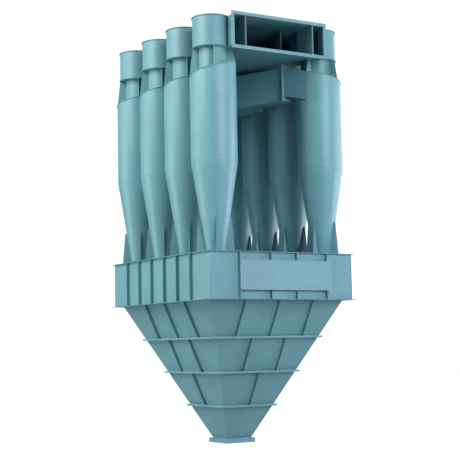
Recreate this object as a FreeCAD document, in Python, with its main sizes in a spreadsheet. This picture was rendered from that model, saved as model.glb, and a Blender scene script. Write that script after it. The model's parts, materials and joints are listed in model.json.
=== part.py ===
"""Group cyclone dust separator: eight cyclones in two rows over a pyramid hopper.

Frame: X across the two rows, Y along them (the clean gas mouth looks to -Y), Z up.
The origin is the centre of the underside of the support flange. Lengths are millimetres.
"""
import FreeCAD, Part
import math
import os
from FreeCAD import Vector

SIZES = {
    # cyclones
    "barrel_radius": 450.0,
    "shell_wall": 6.0,
    "cone_height": 1800.0,
    "cone_tip_radius": 164.0,
    "cone_top_level": 2626.0,
    "row_count": 4.0,
    "row_pitch": 1066.0,
    "row_offset": 1238.0,
    "lid_top_level": 4605.0,
    "lid_pitch": 594.0,
    "lid_sections": 24.0,
    "lid_seam": 0.5,
    "collar_foot": 45.0,
    "pipe_radius": 265.0,
    "pipe_wall": 6.0,
    "pipe_reach": 1566.0,
    "pipe_gap": 1.0,
    # inlet nozzles
    "inlet_turn": 22.5,
    "inlet_slope": 15.0,
    "inlet_length": 540.0,
    "inlet_clearance": 3.0,
    "inlet_lift": 12.0,
    "inlet_flange_rim": 60.0,
    "inlet_flange_thickness": 10.0,
    # dirty gas collector
    "collector_floor_level": 4068.0,
    "collector_height": 682.0,
    "inlet_flange_lift": 75.0,
    "collector_mouth_reach": 731.0,
    "collector_flange_rim": 63.0,
    "duct_wall": 6.0,
    # clean gas header and outlet scrolls
    "header_floor_level": 4855.0,
    "header_height": 605.0,
    "scroll_gap": 63.0,
    "scroll_growth": 117.0,
    "scroll_start_angle": -120.0,
    "scroll_end_angle": 180.0,
    "scroll_sections": 11.0,
    "scroll_heel_section": 9.0,
    "plate_lip": 12.0,
    "mouth_reach": 501.0,
    "mouth_half_width": 1044.0,
    "mouth_rim": 58.0,
    "mouth_flange_thickness": 10.0,
    "guide_mouth_offset": 779.0,
    "guide_end_offset": 434.0,
    "guide_end_inset": 625.0,
    "rear_guide_share": 0.8,
    "header_back_inset": 299.0,
    "side_seam": 0.5,
    # dust box
    "box_side_margin": 387.0,
    "box_end_margin": 426.0,
    "box_top_level": 910.0,
    "plate_thickness": 10.0,
    "cover_rim": 47.0,
    "support_rim": 60.0,
    "shelf_margin": 15.0,
    "shelf_thickness": 6.0,
    "box_rib_depth": 63.0,
    "rib_thickness": 8.0,
    "side_rib_pitch": 539.0,
    "front_rib_inner": 293.0,
    "front_rib_outer": 997.0,
    "sign_left": -1000.0,
    "sign_width": 2095.0,
    "sign_height": 572.0,
    "sign_foot_level": 178.0,
    "sign_thickness": 8.0,
    # hopper
    "hopper_side_inset": 135.0,
    "hopper_end_inset": 155.0,
    "hopper_depth": 2720.0,
    "outlet_size": 552.0,
    "ring_one_level": -690.0,
    "ring_two_level": -1365.0,
    "ring_three_level": -2042.0,
    "ring_rim": 57.0,
    "ring_skirt": 36.0,
    "hopper_side_rib_pitch": 820.0,
    "hopper_front_rib_pitch": 772.0,
    "outlet_bar_width": 66.0,
    "outlet_bar_height": 90.0,
    "outlet_hole_radius": 9.0,
    "outlet_hole_inset": 33.0,
    # gussets
    "gusset_thickness": 8.0,
    "gusset_shift": 3.0,
    "gusset_root": 10.0,
    "foot_gusset_radius": 368.0,
    "foot_gusset_top_radius": 312.0,
    "foot_gusset_level": 1560.0,
    "crown_gusset_radius": 388.0,
    # bolt holes of the two gas flanges
    "gas_hole_radius": 9.0,
    "gas_hole_inset": 35.0,
}



def worked_out(given):
    """Sizes that follow from the ones above, so that what fits together stays together."""
    last = (given["row_count"] - 1) * given["row_pitch"] / 2
    mouth = -last - given["mouth_reach"]
    across = 2 * (given["row_offset"] + given["box_side_margin"])
    along = 2 * (last + given["box_end_margin"])
    return {
        "inlet_width": given["barrel_radius"] - given["pipe_radius"] - given["inlet_clearance"],
        "scroll_start_radius": given["pipe_radius"] + given["scroll_gap"],
        "collector_roof_level": given["collector_floor_level"] + given["collector_height"],
        "inlet_flange_top_level": (given["collector_floor_level"] + given["collector_height"]
                                   + given["inlet_flange_lift"]),
        "collector_mouth_level": last + given["collector_mouth_reach"],
        "header_roof_level": given["header_floor_level"] + given["header_height"],
        "mouth_level": mouth,
        "guide_end_level": mouth + given["guide_end_inset"],
        "header_back_level": last - given["header_back_inset"],
        "box_width": across,
        "box_length": along,
        "hopper_width": across - 2 * given["hopper_side_inset"],
        "hopper_length": along - 2 * given["hopper_end_inset"],
    }


SIZES.update(worked_out(SIZES))

# A cutting tool starts one thickness before a plate and ends one past it.
THROUGH = 3

doc = FreeCAD.newDocument("GroupCyclone")
sheet = doc.addObject("Spreadsheet::Sheet", "Sizes")
for row, (alias, value) in enumerate(SIZES.items(), start=1):
    sheet.set("A%d" % row, alias)
    sheet.set("B%d" % row, str(value))
    sheet.setAlias("B%d" % row, alias)
doc.recompute()


def size(alias):
    """Value of a named size, read from the sheet."""
    return float(getattr(sheet, alias))


def bound(kind, name, **expressions):
    """Add an object whose properties follow expressions on the sheet's aliases."""
    thing = doc.addObject(kind, name)
    for prop, text in expressions.items():
        for alias in sorted(SIZES, key=len, reverse=True):
            text = text.replace("$" + alias, "Sizes." + alias)
        thing.setExpression(prop.replace("__", "."), text)
    return thing


def box(name, x, y, z, length, width, height):
    """Bound box from its low corner and its three sizes."""
    return bound("Part::Box", name, Length=length, Width=width, Height=height,
                 Placement__Base__x=x, Placement__Base__y=y, Placement__Base__z=z)


def cut(name, base, tool):
    """Bound difference of two objects."""
    thing = doc.addObject("Part::Cut", name)
    thing.Base, thing.Tool = base, tool
    return thing


def fuse(name, things):
    """Bound union of several objects."""
    thing = doc.addObject("Part::MultiFuse", name)
    thing.Shapes = things
    return thing


def group(name, things):
    """Several separate pieces kept as one object."""
    thing = doc.addObject("Part::Compound", name)
    thing.Links = things
    return thing


def mirrored(name, source):
    """The same piece on the other side of the plane between the rows."""
    thing = doc.addObject("Part::Mirroring", name)
    thing.Source, thing.Base, thing.Normal = source, Vector(0, 0, 0), Vector(1, 0, 0)
    return thing


def both_rows(name, pieces):
    """Pieces of the right-hand row together with their mirror images."""
    right = shaped(name + "Right", Part.makeCompound(pieces))
    return group(name, [right, mirrored(name + "Left", right)])


def shaped(name, shape):
    """Piece whose shape is worked out here from the sheet's sizes."""
    thing = doc.addObject("Part::Feature", name)
    thing.Shape = shape
    return thing


def extruded(points, direction):
    """Solid from a closed outline of straight edges."""
    wire = Part.makePolygon([Vector(*point) for point in points] + [Vector(*points[0])])
    return Part.Face(wire).extrude(Vector(*direction))


def plan_solid(points, low, high):
    """Solid over a plan outline between two levels."""
    return extruded([(x, y, low) for x, y in points], (0, 0, high - low))


def solids(shape):
    """A shape's one solid, or a compound of its solids."""
    found = shape.Solids
    return found[0] if len(found) == 1 else Part.makeCompound(found)


NODES = {}


def node(name, thing):
    """Make an object one of the parts that are written out."""
    thing.Label = name
    NODES[name] = thing
    return thing


COUNT = int(size("row_count"))
CYCLONES = range(1, COUNT + 1)


def station(index):
    """Y of a cyclone's axis, counted from the clean gas mouth."""
    return (index - (COUNT + 1) / 2.0) * size("row_pitch")


# --------------------------------------------------------------------------- dust box
def build_box():
    """Cover plate, four walls, support flange and shelf."""
    top, plate = "$box_top_level", "$plate_thickness"
    half_w, half_l = "$box_width/2", "$box_length/2"
    cover = box("CoverBlank", "-%s-$cover_rim" % half_w, "-%s-$cover_rim" % half_l,
                "%s-%s" % (top, plate), "$box_width+2*$cover_rim",
                "$box_length+2*$cover_rim", plate)
    holes = []
    for side in (-1, 1):
        for index in CYCLONES:
            holes.append(bound(
                "Part::Cylinder", "CoverHole",
                Radius="$barrel_radius-($cone_top_level-%s)*($barrel_radius-$cone_tip_radius)"
                       "/$cone_height+$pipe_gap" % top,
                Height="%d*%s" % (THROUGH, plate), Placement__Base__x="%d*$row_offset" % side,
                Placement__Base__y="%g*$row_pitch" % (index - (COUNT + 1) / 2.0),
                Placement__Base__z="%s-2*%s" % (top, plate)))
    node("cover_plate", cut("CoverPlate", cover, fuse("CoverHoles", holes)))

    wall, high = "$shell_wall", "%s-2*%s" % (top, plate)
    for name, side in (("box_wall_left", "-%s" % half_w), ("box_wall_right", "%s-%s" % (half_w, wall))):
        node(name, box(name, side, "-%s" % half_l, plate, wall, "$box_length", high))
    for name, side in (("box_wall_front", "-%s" % half_l), ("box_wall_back", "%s-%s" % (half_l, wall))):
        node(name, box(name, "-%s+%s" % (half_w, wall), side, plate,
                       "$box_width-2*%s" % wall, wall, high))

    outer = box("SupportBlank", "-%s-$support_rim" % half_w, "-%s-$support_rim" % half_l, "0",
                "$box_width+2*$support_rim", "$box_length+2*$support_rim", plate)
    eye = box("SupportEye", "-%s+$shelf_margin" % half_w, "-%s+$shelf_margin" % half_l, "-%s" % plate,
              "$box_width-2*$shelf_margin", "$box_length-2*$shelf_margin",
              "%d*%s" % (THROUGH, plate))
    node("support_flange", cut("SupportFlange", outer, eye))
    shelf = box("ShelfBlank", "-%s+$shelf_margin" % half_w, "-%s+$shelf_margin" % half_l,
                "%s-$shelf_thickness" % plate, "$box_width-2*$shelf_margin",
                "$box_length-2*$shelf_margin", "$shelf_thickness")
    well = box("ShelfEye", "-$hopper_width/2+%s" % wall, "-$hopper_length/2+%s" % wall, "-%s" % plate,
               "$hopper_width-2*%s" % wall, "$hopper_length-2*%s" % wall,
               "%d*%s" % (THROUGH, plate))
    node("hopper_shelf", cut("HopperShelf", shelf, well))


def build_sign_plate():
    """Bare name plate on the outer edges of the front ribs."""
    node("sign_plate", box(
        "SignPlate", "$sign_left", "-$box_length/2-$box_rib_depth-$sign_thickness",
        "$sign_foot_level", "$sign_width", "$sign_thickness", "$sign_height"))


# --------------------------------------------------------------------------- hopper
def hopper_half(level, along_y):
    """Half size of the hopper's outside at a level below the shelf."""
    top = size("hopper_length") if along_y else size("hopper_width")
    share = -level / size("hopper_depth")
    return (top + (size("outlet_size") - top) * share) / 2.0


def hopper_top():
    """Level of the shelf's underside, where the hopper's walls and ribs end."""
    return size("plate_thickness") - size("shelf_thickness")


def hopper_wall(along_y):
    """One inclined wall: at +X where along_y is false, at +Y where it is true."""
    depth, wall, high = size("hopper_depth"), size("shell_wall"), hopper_top()
    top, low = hopper_half(high, along_y), hopper_half(-depth, along_y)
    other_top, other_low = hopper_half(high, not along_y), hopper_half(-depth, not along_y)
    inset = 0.0 if along_y else wall
    section = [(top - wall, high), (top, high), (low, -depth), (low - wall, -depth)]
    reach = other_top + wall
    if along_y:
        slab = extruded([(-reach, a, z) for a, z in section], (2 * reach, 0, 0))
    else:
        slab = extruded([(a, -reach, z) for a, z in section], (0, 2 * reach, 0))
    side = [(-other_top + inset, high), (other_top - inset, high),
            (other_low - inset, -depth), (-other_low + inset, -depth)]
    span = 2 * max(size("hopper_width"), size("hopper_length"))
    if along_y:
        limit = extruded([(a, 0, z) for a, z in side], (0, span, 0))
    else:
        limit = extruded([(0, a, z) for a, z in side], (span, 0, 0))
    return solids(slab.common(limit))


def hopper_outside():
    """The hopper's outside as one closed pyramid, for trimming what fits round it."""
    wires = []
    for level in (hopper_top(), -size("hopper_depth")):
        half_w, half_l = hopper_half(level, False), hopper_half(level, True)
        corners = [Vector(sx * half_w, sy * half_l, level)
                   for sx, sy in ((-1, -1), (1, -1), (1, 1), (-1, 1), (-1, -1))]
        wires.append(Part.makePolygon(corners))
    return Part.makeLoft(wires, True, True)


def ring_levels():
    """Top levels of the three stiffening rings, from the shelf down."""
    return [size("ring_one_level"), size("ring_two_level"), size("ring_three_level")]


def hopper_ring(level):
    """Angle section round the hopper: a flange at a level, and a skirt down its outer edge."""
    thick, skirt = size("rib_thickness"), size("ring_skirt")
    half_w = hopper_half(level, False) + size("ring_rim")
    half_l = hopper_half(level, True) + size("ring_rim")
    blank = Part.makeBox(2 * half_w, 2 * half_l, skirt, Vector(-half_w, -half_l, level - skirt))
    hollow = Part.makeBox(2 * (half_w - thick), 2 * (half_l - thick), skirt,
                          Vector(thick - half_w, thick - half_l, level - skirt - thick))
    return solids(blank.cut(hollow).cut(hopper_outside()))


def build_hopper():
    """Four walls, three rings and the square outlet frame."""
    opposite = {"x": Vector(1, 0, 0), "y": Vector(0, 1, 0)}
    side, end = hopper_wall(False), hopper_wall(True)
    node("hopper_wall_right", shaped("HopperWallRight", side))
    node("hopper_wall_left", shaped("HopperWallLeft", side.mirror(Vector(0, 0, 0), opposite["x"])))
    node("hopper_wall_back", shaped("HopperWallBack", end))
    node("hopper_wall_front", shaped("HopperWallFront", end.mirror(Vector(0, 0, 0), opposite["y"])))

    for name, level in zip(("hopper_ring_upper", "hopper_ring_middle", "hopper_ring_lower"), ring_levels()):
        node(name, shaped(name, hopper_ring(level)))

    bar = "$outlet_bar_width"
    blank = box("OutletBlank", "-$outlet_size/2-%s" % bar, "-$outlet_size/2-%s" % bar,
                "-$hopper_depth-$outlet_bar_height", "$outlet_size+2*%s" % bar,
                "$outlet_size+2*%s" % bar, "$outlet_bar_height")
    eye = box("OutletEye", "-$outlet_size/2+$shell_wall", "-$outlet_size/2+$shell_wall",
              "-$hopper_depth-2*$outlet_bar_height", "$outlet_size-2*$shell_wall",
              "$outlet_size-2*$shell_wall", "%d*$outlet_bar_height" % THROUGH)
    holes = [eye]
    for sx in (-1, 1):
        for sy in (-1, 1):
            holes.append(bound(
                "Part::Cylinder", "OutletHole", Radius="$outlet_hole_radius",
                Height="%d*$outlet_bar_height" % THROUGH,
                Placement__Base__x="%d*($outlet_size/2+%s-$outlet_hole_inset)" % (sx, bar),
                Placement__Base__y="%d*($outlet_size/2+%s-$outlet_hole_inset)" % (sy, bar),
                Placement__Base__z="-$hopper_depth-2*$outlet_bar_height"))
    node("outlet_frame", cut("OutletFrame", blank, fuse("OutletHoles", holes)))


# --------------------------------------------------------------------------- ribs
def rib_rows(pitch):
    """Places of the hopper's ribs in its three ribbed courses."""
    return [(-pitch, 0.0, pitch), (-pitch / 2, pitch / 2), (0.0,)]


def hopper_ribs(along_y):
    """Upright ribs on the outside of one hopper wall, from the flange of one ring to the next."""
    thick, rim = size("rib_thickness"), size("ring_rim")
    pitch = size("hopper_front_rib_pitch") if along_y else size("hopper_side_rib_pitch")
    levels = [hopper_top()] + ring_levels()
    pieces = []
    for course, places in enumerate(rib_rows(pitch)):
        high = levels[course] - (thick if course else 0.0)
        low = levels[course + 1]
        near = [hopper_half(level, along_y) for level in (high, low)]
        outline = [(near[0], high), (near[0] + rim, high), (near[1] + rim, low), (near[1], low)]
        for place in places:
            if along_y:
                rib = extruded([(place - thick / 2, a, z) for a, z in outline], (thick, 0, 0))
            else:
                rib = extruded([(a, place - thick / 2, z) for a, z in outline], (0, thick, 0))
            pieces.append(solids(rib.cut(hopper_ring(levels[course]))) if course else rib)
    return pieces


def box_ribs(along_y):
    """Upright ribs on the outside of one wall of the box."""
    thick, deep = size("rib_thickness"), size("box_rib_depth")
    low, high = size("plate_thickness"), size("box_top_level") - size("plate_thickness")
    if along_y:
        places = [side * size(alias) for side in (-1, 1) for alias in ("front_rib_inner", "front_rib_outer")]
        face = size("box_length") / 2
        return [Part.makeBox(thick, deep, high - low, Vector(place - thick / 2, face, low))
                for place in places]
    places = [side * step * size("side_rib_pitch") for side in (-1, 1) for step in (0.5, 1.5, 2.5)]
    face = size("box_width") / 2
    return [Part.makeBox(deep, thick, high - low, Vector(face, place - thick / 2, low))
            for place in places]


def build_ribs():
    """One node of ribs for each side of box and hopper."""
    origin = Vector(0, 0, 0)
    for along_y, near, far, normal in ((False, "right", "left", Vector(1, 0, 0)),
                                       (True, "back", "front", Vector(0, 1, 0))):
        shape = Part.makeCompound(box_ribs(along_y) + hopper_ribs(along_y))
        node("ribs_" + near, shaped("Ribs", shape))
        node("ribs_" + far, shaped("Ribs", shape.mirror(origin, normal)))


# --------------------------------------------------------------------------- cyclones
def lid_level(angle):
    """Top of the helical lid at an angle of a right-hand cyclone, in degrees."""
    turned = angle - lid_start()
    return size("lid_top_level") - size("lid_pitch") * turned / 360.0


def lid_start():
    """Angle at which the inlet meets a right-hand cyclone and its lid is highest."""
    return -180.0 + size("inlet_turn")


def collar_level():
    """Foot of the collar that rises with the lid, where the plain barrel ends."""
    return size("lid_top_level") - size("lid_pitch") - size("collar_foot")


def build_barrels():
    """Plain barrel and cone of each cyclone."""
    for side_name, side in (("left", -1), ("right", 1)):
        for index in CYCLONES:
            parts = []
            for role, shrink in (("Outer", "0"), ("Inner", "$shell_wall")):
                across = {"Placement__Base__x": "%d*$row_offset" % side,
                          "Placement__Base__y": "%g*$row_pitch" % (index - (COUNT + 1) / 2.0)}
                barrel = bound(
                    "Part::Cylinder", "Barrel" + role, Radius="$barrel_radius-%s" % shrink,
                    Height="$lid_top_level-$lid_pitch-$collar_foot-$cone_top_level",
                    Placement__Base__z="$cone_top_level", **across)
                cone = bound(
                    "Part::Cone", "Cone" + role, Radius1="$cone_tip_radius-%s" % shrink,
                    Radius2="$barrel_radius-%s" % shrink, Height="$cone_height",
                    Placement__Base__z="$cone_top_level-$cone_height", **across)
                parts.append(fuse("Body" + role, [barrel, cone]))
            name = "cyclone_body_%s_%d" % (side_name, index)
            node(name, cut(name, parts[0], parts[1]))


def helical_lid(axis):
    """Lid and collar of one right-hand cyclone, swept through one turn of a helix."""
    outer, wall = size("barrel_radius"), size("shell_wall")
    bore = size("pipe_radius") + size("pipe_gap")
    foot = collar_level()
    wires = []
    steps = int(size("lid_sections"))
    for step in range(steps + 1):
        angle = lid_start() + (360.0 - size("lid_seam")) * step / steps
        top = lid_level(angle)
        flat = Vector(math.cos(math.radians(angle)), math.sin(math.radians(angle)), 0)
        profile = [(outer, foot), (outer, top), (bore, top), (bore, top - wall),
                   (outer - wall, top - wall), (outer - wall, foot)]
        corners = [axis + flat * radius + Vector(0, 0, level) for radius, level in profile]
        wires.append(Part.makePolygon(corners + [corners[0]]))
    return Part.makeLoft(wires, True, False)


def build_lids():
    """The helical lids of both rows."""
    lids = [helical_lid(Vector(size("row_offset"), station(index), 0)) for index in CYCLONES]
    node("helical_lids", both_rows("HelicalLids", lids))


def build_pipes():
    """Exhaust pipes, from inside the barrels up into the header floor."""
    pipes = []
    for side in (-1, 1):
        for index in CYCLONES:
            across = {"Placement__Base__x": "%d*$row_offset" % side,
                      "Placement__Base__y": "%g*$row_pitch" % (index - (COUNT + 1) / 2.0),
                      "Placement__Base__z": "$lid_top_level-$pipe_reach",
                      "Height": "$header_floor_level+$duct_wall-$lid_top_level+$pipe_reach"}
            outer = bound("Part::Cylinder", "PipeOuter", Radius="$pipe_radius", **across)
            inner = bound("Part::Cylinder", "PipeInner", Radius="$pipe_radius-$pipe_wall", **across)
            pipes.append(cut("Pipe", outer, inner))
    node("exhaust_pipes", group("ExhaustPipes", pipes))


# --------------------------------------------------------------------------- inlets
class Inlet:
    """Directions and corner points of one right-hand inlet nozzle in plan."""

    def __init__(self, index):
        turn = math.radians(size("inlet_turn"))
        axis = Vector(size("row_offset"), station(index), 0)
        self.inward = Vector(math.cos(turn), math.sin(turn), 0)
        self.back = Vector(-math.sin(turn), math.cos(turn), 0)
        self.touch = axis - self.inward * size("barrel_radius")

    def at(self, along, across, level=0.0):
        """Point a way back from the barrel and a way inward from the outer wall."""
        point = self.touch + self.back * along + self.inward * across
        return Vector(point.x, point.y, level)


def nozzle(index):
    """Sloping rectangular inlet with its flange against the collector."""
    inlet = Inlet(index)
    rise = math.tan(math.radians(size("inlet_slope")))
    length, wide, wall = size("inlet_length"), size("inlet_width"), size("duct_wall")
    roof = size("lid_top_level")
    floor = roof - size("lid_pitch") + size("inlet_lift")

    def sloped(near, far, across, width, low, high):
        """Slanted block between two distances back from the barrel."""
        outline = [inlet.at(near, across, low + near * rise), inlet.at(far, across, low + far * rise),
                   inlet.at(far, across, high + far * rise), inlet.at(near, across, high + near * rise)]
        wire = Part.makePolygon(outline + [outline[0]])
        return Part.Face(wire).extrude(inlet.inward * width)

    tube = sloped(0, length, 0, wide, floor, roof)
    bore = sloped(-length, 2 * length, wall, wide - 2 * wall, floor + wall, roof - wall)  # past both ends
    rim, thick = size("inlet_flange_rim"), size("inlet_flange_thickness")
    low, high = size("collector_floor_level"), size("inlet_flange_top_level")
    corner = inlet.at(length, -rim, low)
    edge = [corner, corner + inlet.inward * (wide + 2 * rim)]
    edge += [edge[1] + Vector(0, 0, high - low), edge[0] + Vector(0, 0, high - low)]
    flange = Part.Face(Part.makePolygon(edge + [edge[0]])).extrude(inlet.back * thick)
    return solids(tube.fuse(flange).cut(bore))


def build_nozzles():
    """Inlet nozzles of both rows."""
    pieces = [nozzle(index) for index in CYCLONES]
    right = node("inlet_nozzles_right", shaped("InletNozzlesRight", Part.makeCompound(pieces)))
    node("inlet_nozzles_left", mirrored("InletNozzlesLeft", right))


def collector_outline():
    """Right half of the collector's plan, from its front notch to the dirty gas mouth."""
    seat = size("inlet_length") + size("inlet_flange_thickness")
    first = Inlet(1).at(seat, 0)
    apex = first.y + first.x / math.tan(math.radians(size("inlet_turn")))
    points = [(0.0, apex)]
    rim = size("inlet_flange_rim")
    for index in CYCLONES:
        for across in (0.0 if index == 1 else -rim, size("inlet_width") + rim):
            point = Inlet(index).at(seat, across)
            points.append((point.x, point.y))
    points.append((points[-1][0], size("collector_mouth_level")))
    return points


def gas_flange(half, low, high, rim, near, thick):
    """Flat flange round a rectangular duct, its corner bolt holes drilled."""
    wall, inset = size("duct_wall"), size("gas_hole_inset")
    blank = Part.makeBox(2 * (half + rim), thick, high - low + 2 * rim, Vector(-half - rim, near, low - rim))
    eye = Part.makeBox(2 * (half - wall), THROUGH * thick, high - low - 2 * wall,
                       Vector(wall - half, near - thick, low + wall))
    flange = blank.cut(eye)
    for side in (-1, 1):
        for level in (low - rim + inset, high + rim - inset):
            corner = Vector(side * (half + rim - inset), near - thick, level)
            flange = flange.cut(Part.makeCylinder(size("gas_hole_radius"), THROUGH * thick, corner,
                                                  Vector(0, 1, 0)))
    return flange


def both_halves(points):
    """Close a plan outline with its own mirror image."""
    return points + [(-x, y) for x, y in reversed(points) if abs(x) > 1e-6]


def build_collector():
    """Roof, floor, walls and mouth flange of the dirty gas collector."""
    wall = size("duct_wall")
    low, high = size("collector_floor_level"), size("collector_roof_level")
    outline = both_halves(collector_outline())
    node("collector_floor", shaped("CollectorFloor", plan_solid(outline, low, low + wall)))
    node("collector_roof", shaped("CollectorRoof", plan_solid(outline, high - wall, high)))

    face = Part.Face(Part.makePolygon([Vector(x, y, low + wall) for x, y in outline + outline[:1]]))
    band = face.cut(face.makeOffset2D(-wall)).extrude(Vector(0, 0, high - low - 2 * wall))
    ports = []
    for index in CYCLONES:
        inlet = Inlet(index)
        seat = size("inlet_length") + size("inlet_flange_thickness")
        corners = [inlet.at(seat - wall, wall, low), inlet.at(seat - wall, size("inlet_width") - wall, low)]
        edge = Part.makePolygon(corners + [corners[1] + Vector(0, 0, high - low),
                                           corners[0] + Vector(0, 0, high - low), corners[0]])
        port = Part.Face(edge).extrude(inlet.back * THROUGH * wall)
        ports += [port, port.mirror(Vector(0, 0, 0), Vector(1, 0, 0))]
    mouth = size("collector_mouth_level")
    half = collector_outline()[-1][0]
    ports.append(Part.makeBox(2 * (half - wall), THROUGH * wall, high - low,
                              Vector(wall - half, mouth - 2 * wall, low)))
    for port in ports:
        band = band.cut(port)
    node("collector_walls", shaped("CollectorWalls", solids(band)))

    flange = gas_flange(half, low, high, size("collector_flange_rim"), mouth, size("plate_thickness"))
    node("collector_flange", shaped("CollectorFlange", flange))


# --------------------------------------------------------------------------- header
def scroll_radius(angle):
    """Outside of a right-hand outlet scroll's wall at an angle in degrees."""
    start, end = size("scroll_start_angle"), size("scroll_end_angle")
    return size("scroll_start_radius") + size("scroll_growth") * (angle - start) / (end - start)


def scroll_points(index, shrink):
    """Points along a right-hand scroll's wall, from its tongue to its exit."""
    steps = int(size("scroll_sections")) - 1
    start, end = size("scroll_start_angle"), size("scroll_end_angle")
    points = []
    for step in range(steps + 1):
        angle = start + (end - start) * step / steps
        radius = scroll_radius(angle) - shrink
        points.append(Vector(size("row_offset") + radius * math.cos(math.radians(angle)),
                             station(index) + radius * math.sin(math.radians(angle)), 0))
    return points


def scroll_heel(index, shrink):
    """Point of a scroll's wall from which the header's side runs on to the next scroll."""
    return scroll_points(index, shrink)[int(size("scroll_heel_section")) - 1]


def curve(points):
    """Smooth edge through points."""
    spline = Part.BSplineCurve()
    spline.interpolate(points)
    return spline.toShape()


def scroll_wall(index, low, high):
    """Curved wall of one right-hand scroll."""
    outside, inside = scroll_points(index, 0.0), scroll_points(index, size("duct_wall"))
    ends = [Part.makeLine(outside[0], inside[0]), Part.makeLine(outside[-1], inside[-1])]
    wire = Part.Wire(Part.__sortEdges__([curve(outside), curve(inside)] + ends))
    face = Part.Face(wire)
    face.translate(Vector(0, 0, low))
    return face.extrude(Vector(0, 0, high - low))


def header_outline(grow):
    """Right half of the header's plan between the scrolls, as straight runs."""
    mouth = size("mouth_level")
    side = size("mouth_half_width") + (grow if grow > 0 else 0.0)
    points = [(0.0, mouth), (side, mouth)]
    for index in CYCLONES:
        tongue = scroll_points(index, -grow)[0]
        points.append((tongue.x, tongue.y))
        points.append((size("row_offset"), station(index)))
        if index < COUNT:
            heel = scroll_heel(index, -grow)
            points.append((heel.x, heel.y))
    exit_point = scroll_points(COUNT, -grow)[-1]
    points.append((exit_point.x, exit_point.y))
    points.append((0.0, size("header_back_level")))
    return points


def header_plate(low, high, grow):
    """Floor or roof over the header and all scrolls, with a lip outside the walls."""
    outline = both_halves(header_outline(grow))
    plate = plan_solid(outline, low, high)
    discs = []
    for index in CYCLONES:
        points = scroll_points(index, -grow)
        edges = [curve(points), Part.makeLine(points[-1], points[0])]
        face = Part.Face(Part.Wire(edges))
        face.translate(Vector(0, 0, low))
        disc = face.extrude(Vector(0, 0, high - low))
        discs += [disc, disc.mirror(Vector(0, 0, 0), Vector(1, 0, 0))]
    return plate.fuse(discs).removeSplitter()


def guide_plate(index, low, high):
    """Straight plate that carries a scroll's exit wall on towards the mouth."""
    wall = size("duct_wall")
    start = scroll_points(index, 0.0)[-1]
    if index == 1:
        end = Vector(size("guide_mouth_offset"), size("mouth_level"), 0)
    else:
        slant = (start.x - size("guide_end_offset")) / (station(2) - size("guide_end_level"))
        run = (station(2) - size("guide_end_level")) * (1.0 if index == 2 else size("rear_guide_share"))
        end = Vector(start.x - slant * run, start.y - run, 0)
    across = Vector(wall, 0, 0)
    points = [start, start + across, end + across, end]
    return plan_solid([(p.x, p.y) for p in points], low, high)


def build_header():
    """Floor, roof, scroll walls, side walls, guide plates and mouth flange."""
    wall, lip = size("duct_wall"), size("plate_lip")
    low, high = size("header_floor_level"), size("header_roof_level")
    floor = header_plate(low, low + wall, lip)
    for side in (-1, 1):
        for index in CYCLONES:
            floor = floor.cut(Part.makeCylinder(
                size("pipe_radius") + size("pipe_gap"), THROUGH * wall,
                Vector(side * size("row_offset"), station(index), low - wall)))
    node("header_floor", shaped("HeaderFloor", solids(floor)))
    node("header_roof", shaped("HeaderRoof", solids(header_plate(high - wall, high, lip))))

    inner_low, inner_high = low + wall, high - wall
    scrolls = Part.makeCompound([scroll_wall(index, inner_low, inner_high) for index in CYCLONES])
    right = node("scroll_walls_right", shaped("ScrollWallsRight", scrolls))
    node("scroll_walls_left", mirrored("ScrollWallsLeft", right))

    sides = [guide_plate(index, inner_low, inner_high) for index in CYCLONES[:-1]]
    mouth, seam = size("mouth_level"), size("side_seam")
    for index in CYCLONES:
        tongue = scroll_points(index, 0.0)[0]
        front = Vector(size("mouth_half_width"), mouth, 0) if index == 1 else scroll_heel(index - 1, 0.0)
        along = (tongue - front).normalize()
        outward = Vector(along.y, -along.x, 0)
        if index > 1:
            front = front + along * wall
        tongue = tongue - along * seam
        points = [front - outward * wall, front, tongue, tongue - outward * wall]
        sides.append(plan_solid([(p.x, p.y) for p in points], inner_low, inner_high))
    exit_point = scroll_points(COUNT, 0.0)[-1]
    back = size("header_back_level")
    sides.append(plan_solid([(exit_point.x, exit_point.y), (0.0, back), (0.0, back - wall),
                             (exit_point.x, exit_point.y - wall)], inner_low, inner_high))
    right = node("header_sides_right", shaped("HeaderSidesRight", Part.makeCompound(sides)))
    node("header_sides_left", mirrored("HeaderSidesLeft", right))

    thick = size("mouth_flange_thickness")
    flange = gas_flange(size("mouth_half_width"), low, high, size("mouth_rim"), mouth - thick, thick)
    node("mouth_flange", shaped("MouthFlange", flange))


# --------------------------------------------------------------------------- gussets
def radial_plate(index, angle, outline):
    """Upright plate through a right-hand cyclone's axis, from a radius and level outline."""
    thick = size("gusset_thickness")
    flat = Vector(math.cos(math.radians(angle)), math.sin(math.radians(angle)), 0)
    normal = Vector(-flat.y, flat.x, 0)
    axis = Vector(size("row_offset"), station(index), 0) - normal * (thick / 2)
    corners = [axis + flat * radius + Vector(0, 0, level) for radius, level in outline]
    return Part.Face(Part.makePolygon(corners + [corners[0]])).extrude(normal * thick)


def gusset_angles():
    """The four gussets of a cyclone stand square to each other, just past its lid's high end."""
    return [lid_start() + size("gusset_shift") + 90.0 * step for step in range(4)]


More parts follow.
